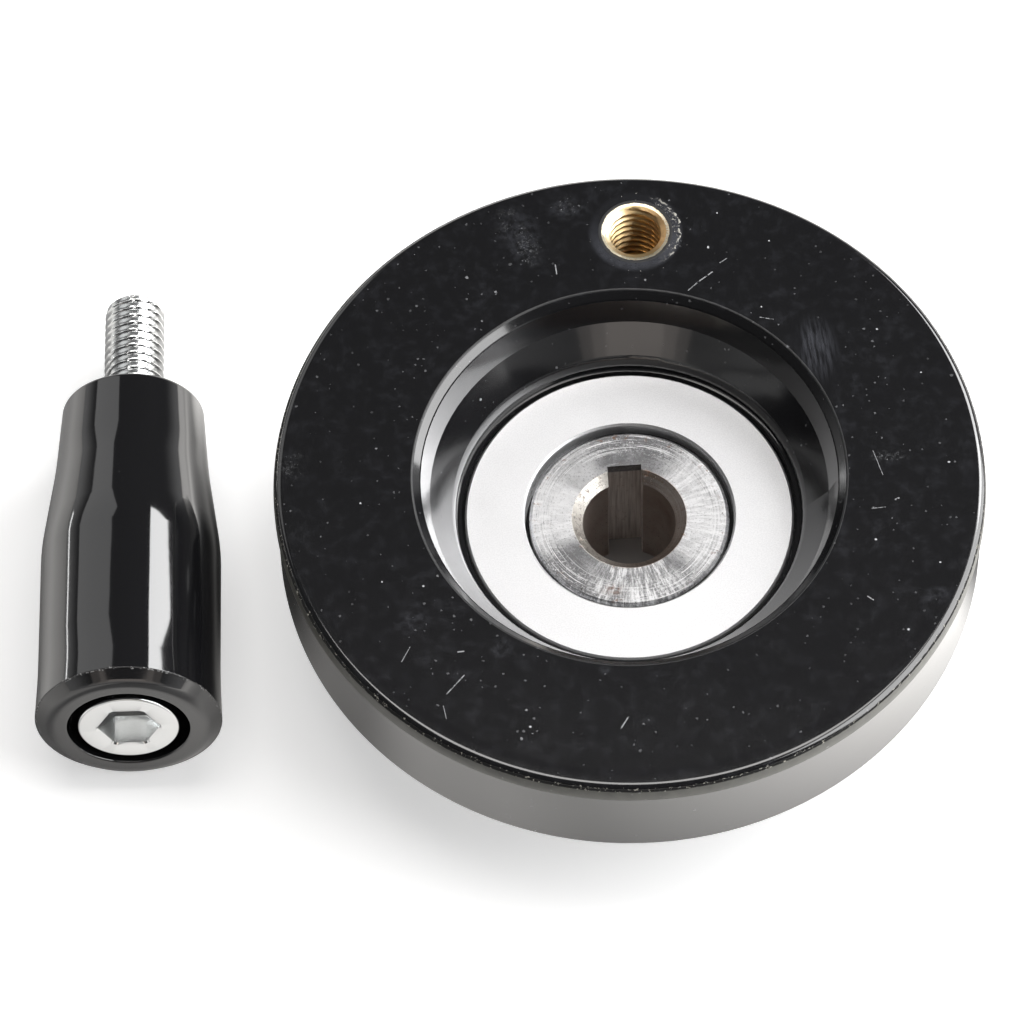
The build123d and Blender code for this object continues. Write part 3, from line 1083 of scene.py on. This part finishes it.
@dataclass
class RimEdge:
    """The rim's outer edge as a thin skin: rounding, parting crack and the raised land below it.

    The two halves of the mould met a little out of line, so the face's rounding stands off to the right. The
    rows below it give how far each stands out from the rim's side, its depth and its share of that mismatch.
    """

    face_height: float
    wheel_radius: float
    mismatch: float = 0.1
    rounding: float = 1.1
    cover: float = 0.014
    inner_radius: float = 41.5
    last_degrees: int = 36
    below: tuple[tuple[float, float, float], ...] = (
        (-0.25, 0.45, 1.0), (-0.3, 0.52, 0.9), (-0.1, 0.55, 0.6), (-0.02, 0.62, 0.3),
        (0.06, 0.82, 0.0), (0.15, 1.32, 0.0), (0.2, 1.82, 0.0), (0.2, 2.52, 0.0),
        (0.17, 2.62, 0.0), (0.1, 2.68, 0.0), (-0.3, 2.72, 0.0), (-0.5, 1.42, 0.0), (-1.6, 0.5, 0.0),
    )
    columns: int = 1080

    def build(self, material: bpy.types.Material) -> bpy.types.Object:
        """Build the skin.

        Args:
            material: the moulding's finish.

        Returns:
            The skin.
        """
        top = self.face_height + self.cover
        side = self.wheel_radius - 0.02
        middle = side - self.rounding

        def shifted(radius: float, height: float, share: float) -> Row:
            """A row that stands off by the mould's mismatch."""
            return lambda angle: (radius + share * self.mismatch * (1.0 + math.cos(angle)), height)

        rows = [shifted(self.inner_radius, top - 0.03, 0.0), shifted(middle - 0.9, top, 0.0)]
        for degrees in range(90, self.last_degrees - 1, -3):
            angle = math.radians(degrees)
            rows.append(shifted(middle + self.rounding * math.cos(angle),
                                top - self.rounding + self.rounding * math.sin(angle), 1.0))
        rows += [shifted(side + out, top - deep, share) for out, deep, share in self.below]
        piece = lathed("rim_edge", rows, self.columns, closed=True, sharp=math.radians(40.0))
        piece.data.materials.append(material)
        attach(piece, Body.WHEEL.value)
        LOG.info("built %s with %d faces", piece.name, len(piece.data.polygons))
        return piece


@dataclass
class ThreadedInsert:
    """The brass insert with its cut thread and countersunk mouth."""

    place: tuple[float, float]
    low: float
    high: float
    body_radius: float
    crest_radius: float
    thread_pitch: float = 1.25
    collar_radius: float = 4.85
    collar_height: float = 1.6
    mouth_radius: float = 4.12
    mouth_slope: float = 2.4
    groove_width: float = 1.6
    groove_depth: float = 0.7
    columns: int = 144

    def build(self) -> bpy.types.Object:
        """Build the insert in its place in the rim."""
        depth = INSERT_THREAD_DEPTH * self.thread_pitch
        thread = MetricThread(self.thread_pitch, self.crest_radius, self.crest_radius + depth,
                              self.thread_pitch / 4)

        def countersunk(height: float, radius: float) -> float:
            """Open the thread's mouth to a cone."""
            return max(radius, self.mouth_radius - self.mouth_slope * (self.high - height))

        groove_middle = (self.low + self.high - self.collar_height) / 2
        inside = thread.rows(self.low, self.high, countersunk)
        outside = Outline([
            Corner(self.mouth_radius, self.high),
            Corner(self.collar_radius, self.high, 0.05),
            Corner(self.collar_radius, self.high - self.collar_height),
            Corner(self.body_radius, self.high - self.collar_height),
            Corner(self.body_radius, groove_middle + self.groove_width / 2),
            Corner(self.body_radius - self.groove_depth, groove_middle + self.groove_width / 2),
            Corner(self.body_radius - self.groove_depth, groove_middle - self.groove_width / 2),
            Corner(self.body_radius, groove_middle - self.groove_width / 2),
            Corner(self.body_radius, self.low),
            Corner(self.crest_radius + depth, self.low),
        ]).points()
        rows = inside + [circle(*point) for point in outside[1:-1]]
        piece = lathed("brass_insert", rows, self.columns, closed=True)
        piece.location = (self.place[0] * MM, self.place[1] * MM, 0)
        return piece


@dataclass
class Handle:
    """The revolving handle: the black grip on its zinc-plated spindle, both on one axis."""

    matrix: Matrix
    stud_radius: float
    grip_length: float = 48.6
    end_radius: float = 11.9
    body_radius: float = 11.65
    flare_length: float = 6.0
    shoulder_at: float = 26.0
    neck_at: float = 38.4
    neck_radius: float = 10.025
    tip_radius: float = 9.3
    crown: float = 1.4
    crown_land: float = 2.15
    parting_step: float = 0.12
    counterbore_radius: float = 7.75
    counterbore_depth: float = 6.7
    journal_radius: float = 5.0
    running_gap: float = 0.06
    axial_play: float = 0.3
    head_radius: float = 6.475
    head_recess: float = 0.15
    head_round: float = 0.32
    socket_flats: float = 6.95
    socket_depth: float = 4.2
    socket_cone: float = 1.0
    stud_length: float = 17.4
    stud_chamfer: float = 1.0
    relief_length: float = 1.3
    relief_depth: float = 0.75
    thread_pitch: float = 1.25
    grip_columns: int = 216
    spindle_columns: int = 132

    def build_grip(self) -> bpy.types.Object:
        """Build the grip, crowned at its big end and necked towards the stud."""
        bore = self.journal_radius + self.running_gap
        outline = Outline([
            Corner(self.counterbore_radius, -self.crown, 0.3),
            Corner(self.counterbore_radius + self.crown_land, -self.crown, 2.5),
            Corner(self.end_radius - self.parting_step, 0.0, 0.03),
            Corner(self.end_radius, 0.0, 0.06),
            Corner(self.body_radius, self.flare_length, 110.0),
            Corner(self.body_radius, self.shoulder_at, 35.0),
            Corner(self.neck_radius, self.neck_at, 60.0),
            Corner(self.tip_radius, self.grip_length, 0.7),
            Corner(bore, self.grip_length, 0.2),
            Corner(bore, self.counterbore_depth - self.crown),
            Corner(self.counterbore_radius, self.counterbore_depth - self.crown, 0.2),
        ], closed=True, arc_step=math.radians(3.0))
        rows = [circle(*point) for point in outline.points()]
        piece = lathed("grip", rows, self.grip_columns, closed=True)
        piece.matrix_world = self.matrix
        return piece

    def build_spindle(self) -> bpy.types.Object:
        """Build the spindle in one piece: socket head, plain journal, relief and threaded stud."""
        head_face = self.head_recess - self.crown
        head_back = self.counterbore_depth - self.crown - self.axial_play
        journal_end = self.grip_length + self.axial_play
        stud_end = journal_end + self.stud_length
        relief_radius = self.stud_radius - self.relief_depth
        socket_floor = head_face + self.socket_depth
        mouth_radius = self.socket_flats / math.sqrt(3) + 0.15
        rows = [
            circle(0.3, socket_floor + self.socket_cone),
            circle(self.socket_flats / 2 - 0.05, socket_floor),
            hexagon(self.socket_flats - 0.02, socket_floor),
            hexagon(self.socket_flats, socket_floor - 0.05),
            hexagon(self.socket_flats, head_face + 0.3),
            hexagon(self.socket_flats + 0.02, head_face + 0.2),
            circle(mouth_radius, head_face),
        ]
        outline = Outline([
            Corner(mouth_radius, head_face),
            Corner(self.head_radius, head_face, self.head_round),
            Corner(self.head_radius, head_back, 0.2),
            Corner(self.journal_radius, head_back, 0.15),
            Corner(self.journal_radius, journal_end, 0.25),
            Corner(relief_radius, journal_end, 0.2),
            Corner(relief_radius, journal_end + self.relief_length),
        ]).points()
        rows += [circle(*point) for point in outline[1:]]
        root_radius = self.stud_radius - STUD_THREAD_DEPTH * self.thread_pitch
        thread = MetricThread(self.thread_pitch, self.stud_radius, root_radius, self.thread_pitch / 8)
        thread_start = journal_end + self.relief_length

        def ends(height: float, radius: float) -> float:
            """Cone both ends of the thread."""
            start_cone = relief_radius + (height - thread_start)
            tip_cone = self.stud_radius - self.stud_chamfer + (stud_end - height)
            return min(radius, start_cone, tip_cone)

        rows += thread.rows(thread_start, stud_end, ends)[1:]
        rows.append(circle(0.3, stud_end))
        piece = lathed("spindle", rows, self.spindle_columns)
        piece.matrix_world = self.matrix
        return piece


# Studio


@dataclass(frozen=True)
class SoftBox:
    """A rectangular soft light that looks at the middle of the object."""

    name: str
    direction: tuple[float, float, float]
    distance: float
    width: float
    height: float
    radiance: float
    colour: Colour = WHITE
    target: tuple[float, float, float] = (0.0, 0.0, 15.0)
    turn: float = 0.0

    def build(self) -> bpy.types.Object:
        """Hang the light."""
        light = bpy.data.lights.new(self.name, "AREA")
        light.shape = "RECTANGLE"
        light.size = self.width * MM
        light.size_y = self.height * MM
        light.energy = self.radiance * math.pi * light.size * light.size_y
        light.color = self.colour
        lamp = bpy.data.objects.new(self.name, light)
        bpy.context.scene.collection.objects.link(lamp)
        way = Vector(self.direction).normalized()
        lamp.location = (Vector(self.target) + way * self.distance) * MM
        level = way.to_track_quat("Z", "Y").to_matrix()
        lamp.rotation_euler = (level @ Matrix.Rotation(self.turn, 3, "Z")).to_euler()
        lamp.visible_camera = False
        return lamp


@dataclass(frozen=True)
class Studio:
    """A white table, a dark room above it and soft lights round it."""

    table_size: float = 6000.0
    table_drop: float = 0.02
    table_colour: Colour = (0.9, 0.9, 0.9)
    glow: float = 0.5
    bore_view_radius: float = 9.0
    # Painted light for reflections only: a glow on the table that grows to the front right, fades far out and
    # stops near the wheel, painted shadows in the shaded patches, and painted pools of light in the lit patches
    # and to the far left.
    mirrored_near: float = 34.0
    mirrored_far: float = 74.0
    mirrored_colour: Colour = (1.0, 0.975, 0.94)
    mirrored_share: float = 0.32
    mirrored_glow: float = 3.4
    mirrored_fade: float = 0.6
    mirrored_fades: tuple[float, float] = (58.0, 80.0)
    mirrored_slant: float = 0.3
    mirrored_from: float = -90.0
    mirrored_to: float = 60.0
    shaded: tuple[Patch, ...] = (Patch(50.0, 10.0, 16.0, 19.0), Patch(-49.0, 4.0, 9.0, 24.0))
    shaded_dark: float = 0.65
    lit: tuple[tuple[Patch, float], ...] = (
        (Patch(-62.0, -46.0, 26.0, 22.0), 0.55),
        (Patch(-30.0, -46.0, 30.0, 22.0), 0.32),
        (Patch(-47.0, 46.0, 14.0, 24.0), 1.2),
    )
    left_from: float = 79.0
    left_to: float = 112.0
    left_glow: float = 0.6
    bore_shade: float = 0.75
    zenith: float = 0.06
    horizon: float = 0.6
    room_fades: tuple[float, float] = (0.02, 0.3)
    boxes: tuple[SoftBox, ...] = (
        SoftBox("key_box", (0.561, 0.562, 0.633), 800.0, 335.0, 300.0, 7.3, target=(-63.0, -5.0, 12.0),
                turn=math.radians(39.4)),
        SoftBox("left_panel", (-0.62, 0.6, 0.5), 1100.0, 750.0, 560.0, 0.7),
        SoftBox("right_box", (0.8285, 0.0289, 0.559), 700.0, 850.0, 744.0, 4.3, turn=math.radians(-7.0)),
        SoftBox("top_box", (0.0, 0.15, 1.0), 1100.0, 800.0, 450.0, 4.15, (1.0, 0.98, 0.96)),
        SoftBox("front_card", (-0.04, -0.956, 0.292), 900.0, 420.0, 150.0, 0.34, (1.0, 0.9, 0.83)),
        SoftBox("front_card_mid", (-0.04, -0.966, 0.259), 910.0, 640.0, 210.0, 0.3, (1.0, 0.9, 0.83)),
        SoftBox("front_card_wide", (-0.04, -0.974, 0.225), 920.0, 860.0, 270.0, 0.3, (1.0, 0.9, 0.83)),
        SoftBox("left_strip", (-0.812, 0.58, 0.056), 900.0, 150.0, 22.0, 5.5, target=(-63.0, -12.0, 16.0)),
    )

    def build(self) -> None:
        """Set the table, the room and the lights."""
        self._table()
        self._room()
        for box in self.boxes:
            box.build()
        bpy.context.scene.view_settings.view_transform = "Standard"

    def _table(self) -> None:
        """A white table that stays white to the camera but keeps the object's shadow; to reflections it shows
        painted pools of light and painted shadows.
        """
        shape = bmesh.new()
        half = self.table_size / 2 * MM
        low = -self.table_drop * MM
        corners = [shape.verts.new((x * half, y * half, low)) for x, y in ((-1, -1), (1, -1), (1, 1), (-1, 1))]
        shape.faces.new(corners)
        mesh = bpy.data.meshes.new("table")
        shape.to_mesh(mesh)
        shape.free()
        recipe = Recipe("white_table")
        x, y, _ = recipe.axes(recipe.place())
        rays = recipe.add("ShaderNodeLightPath")
        straight = Amount(recipe, rays.outputs["Is Camera Ray"])
        mirrored = Amount(recipe, rays.outputs["Is Glossy Ray"])
        radius = (x * x + y * y) ** 0.5
        in_sight = straight * radius.rise(self.bore_view_radius - 1.0, self.bore_view_radius)
        span = self.mirrored_to - self.mirrored_from
        across = x + y * self.mirrored_slant - self.mirrored_from
        rightward = (across * (1 / span)).math("ADD", 0.0, clamp=True) ** 1.5
        open_table = 1 - together([patch.mask(x, y) for patch in self.shaded])
        beyond = radius.rise(self.mirrored_near, self.mirrored_far) * open_table
        fading = 1 - radius.rise(*self.mirrored_fades) * self.mirrored_fade
        left = (x * -1.0).rise(self.left_from, self.left_to)
        # Painted light: glow that only reflections see, laid where the wheel's sides and the handle mirror the
        # table.
        seen = rightward * beyond * fading * self.mirrored_glow + left * self.left_glow
        for patch, glow in self.lit:
            seen = seen + patch.mask(x, y) * glow
        strength = in_sight * self.glow + mirrored * seen
        # Reflections see the table at a share of its colour, and darker still in the shaded patches: painted
        # shade.
        shade = tuple(part * self.mirrored_share for part in self.table_colour)
        colour = recipe.blend(mirrored, self.table_colour, shade)
        colour = recipe.blend((1 - open_table) * mirrored * self.shaded_dark, colour, BLACK)
        # Painted shadow: to the camera the table is darkened under the bore.
        under = straight * radius.rise(self.bore_view_radius, self.bore_view_radius - 1.0) * self.bore_shade
        colour = recipe.blend(under, colour, BLACK)
        diffuse = recipe.add("ShaderNodeBsdfDiffuse", inputs={"Color": colour})
        tint = recipe.blend(mirrored, WHITE, self.mirrored_colour)
        glow = recipe.add("ShaderNodeEmission", inputs={"Color": tint, "Strength": strength})
        both = recipe.add("ShaderNodeAddShader", inputs={0: diffuse.outputs[0], 1: glow.outputs[0]})
        recipe.add("ShaderNodeOutputMaterial", inputs={"Surface": both.outputs[0]})
        mesh.materials.append(recipe.owner)
        table = bpy.data.objects.new("table", mesh)
        bpy.context.scene.collection.objects.link(table)

    def _room(self) -> None:
        """A white horizon that darkens overhead, and plain white behind the table for the camera."""
        recipe = Recipe("room", bpy.data.worlds)
        bpy.context.scene.world = recipe.owner
        _, _, up = recipe.axes(recipe.add("ShaderNodeTexCoord").outputs["Generated"])
        inputs = {"Value": up, "From Min": self.room_fades[0], "From Max": self.room_fades[1],
                  "To Min": self.horizon, "To Max": self.zenith}
        fade = recipe.add("ShaderNodeMapRange", {"interpolation_type": "SMOOTHSTEP"}, inputs)
        seen = recipe.add("ShaderNodeLightPath").outputs["Is Camera Ray"]
        pick = recipe.add("ShaderNodeMix", inputs={0: seen, 2: fade.outputs["Result"], 3: 1.0})
        sky = recipe.add("ShaderNodeBackground", inputs={"Strength": pick.outputs[0]})
        recipe.add("ShaderNodeOutputWorld", inputs={"Surface": sky.outputs[0]})


@dataclass(frozen=True)
class PhotoCamera:
    """The photograph's camera, as the wheel's circles give it."""

    frame_pixels: float = 1024.0
    focal_pixels: float = 5598.0
    sensor: float = 36.0
    distance: float = 709.5
    elevation: float = math.radians(59.61)
    roll: float = math.radians(0.03)
    aim_pixel: tuple[float, float] = (629.3, 473.3)

    def build(self, aim: Vector) -> bpy.types.Object:
        """Set up the camera.

        Args:
            aim: the point that stands at the aim pixel, in millimetres.

        Returns:
            The camera.
        """
        away = Vector((0.0, -math.cos(self.elevation), math.sin(self.elevation)))
        right = Vector((1.0, 0.0, 0.0))
        down = (-away).cross(right)
        level = Matrix((right, down, -away))
        middle = self.frame_pixels / 2
        ray = Vector(((self.aim_pixel[0] - middle) / self.focal_pixels,
                      (self.aim_pixel[1] - middle) / self.focal_pixels, 1.0))
        swing = Vector((0.0, 0.0, 1.0)).rotation_difference(ray).to_matrix()
        view = swing @ Matrix.Rotation(self.roll, 3, "Z") @ level
        turned = Matrix((view[0], -view[1], -view[2])).transposed().to_4x4()
        turned.translation = (aim + away * self.distance) * MM
        lens = bpy.data.cameras.new("photo_camera")
        lens.sensor_width = self.sensor
        lens.lens = self.focal_pixels / self.frame_pixels * self.sensor
        lens.clip_start = 0.01
        lens.clip_end = 50.0
        camera = bpy.data.objects.new("photo_camera", lens)
        camera.matrix_world = turned
        bpy.context.scene.collection.objects.link(camera)
        bpy.context.scene.camera = camera
        return camera


def hand_over(piece: bpy.types.Object, node: str, body: Body,
              material: bpy.types.Material) -> None:
    """Dress a piece and put it in its node's place.

    Args:
        piece: the piece.
        node: the CAD node that it stands for.
        body: the body that it rides on.
        material: its finish.
    """
    piece.data.materials.append(material)
    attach(piece, body.value)
    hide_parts(node)
    LOG.info("built %s for %s with %d faces", piece.name, node, len(piece.data.polygons))


def handle_matrix(joint: Mapping) -> Matrix:
    """The handle's axes: Z along the grip's axis, X level, origin in the big end's parting edge.

    Args:
        joint: the grip's joint in the record, which stands at GRIP_JOINT_AT along the grip.

    Returns:
        The matrix that puts a piece built on the Z axis in its place.
    """
    along = Vector(joint["axis"]).normalized()
    side = Vector((along.y, -along.x, 0.0)).normalized()
    across = along.cross(side)
    turned = Matrix((side, across, along)).transposed().to_4x4()
    turned.translation = Vector(joint["pos_m"]) - along * GRIP_JOINT_AT * MM
    return turned


def mount(name: str) -> Mapping:
    """One of the record's mounts, by name."""
    return next(entry for entry in frame["record"]["mounts"] if entry["name"] == name)


def main() -> None:
    """Build, dress and light everything."""
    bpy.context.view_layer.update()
    insert_low, insert_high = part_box("handle_insert")
    insert_place = tuple((insert_low[axis] + insert_high[axis]) / 2 / MM for axis in range(2))
    bore = mount("shaft_bore")["dims"]["r_mm"]

    Wheel(frame["nodes"]).dress(bore, insert_place)

    insert = ThreadedInsert(insert_place, insert_low[2] / MM, insert_high[2] / MM,
                            (insert_high[0] - insert_low[0]) / 2 / MM, mount("handle_socket")["dims"]["r_mm"])
    brass = CutBrass(insert_high[2] / MM).material()
    hand_over(insert.build(), "handle_insert", Body.WHEEL, brass)

    handle = Handle(handle_matrix(frame["joints"][0]), mount("handle_stud")["dims"]["r_mm"])
    hand_over(handle.build_grip(), "handle_grip", Body.GRIP, GripPhenolic().material())
    hand_over(handle.build_spindle(), "handle_spindle", Body.WHEEL, ZincPlating().material())

    Studio().build()
    PhotoCamera().build(Vector((0.0, 0.0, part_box("wheel_body")[1][2] / MM)))


if __name__ == "__main__":
    logging.basicConfig(level=logging.INFO, format="%(name)s: %(message)s")
    main()
